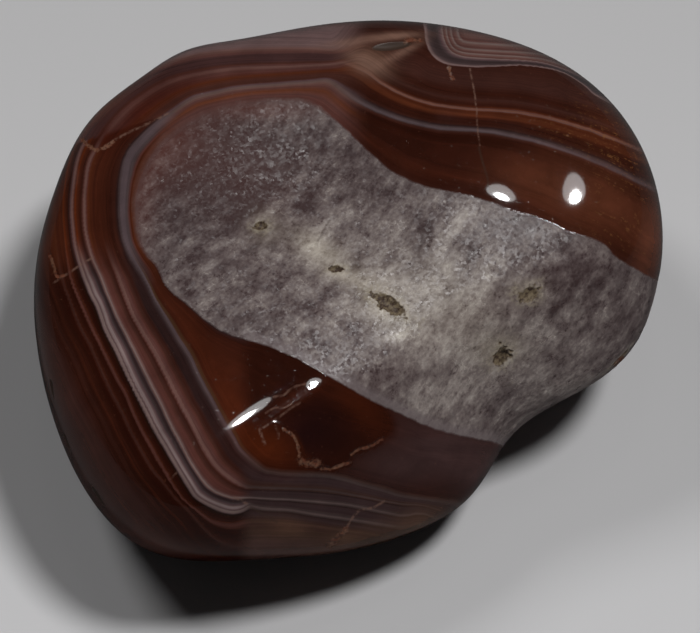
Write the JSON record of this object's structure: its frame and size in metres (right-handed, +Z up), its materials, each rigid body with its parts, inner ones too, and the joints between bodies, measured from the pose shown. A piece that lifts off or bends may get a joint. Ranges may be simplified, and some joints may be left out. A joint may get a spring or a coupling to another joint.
{
  "type": "tumbled agate",
  "caption": "Tumble-polished agate pebble: brown banded chalcedony round a grey quartz heart, with a small flat to rest on.",
  "frame": {"origin": "centre of the bounding box, on the flat that the pebble rests on", "axes": "+X to the right in the picture; +Y away from the viewer; +Z up"},
  "size_m": [0.0514, 0.051, 0.0272],
  "materials": {
    "agate": "polished"
  },
  "bodies": {
    "root": {"agate": "agate"}
  },
  "joints": []
}
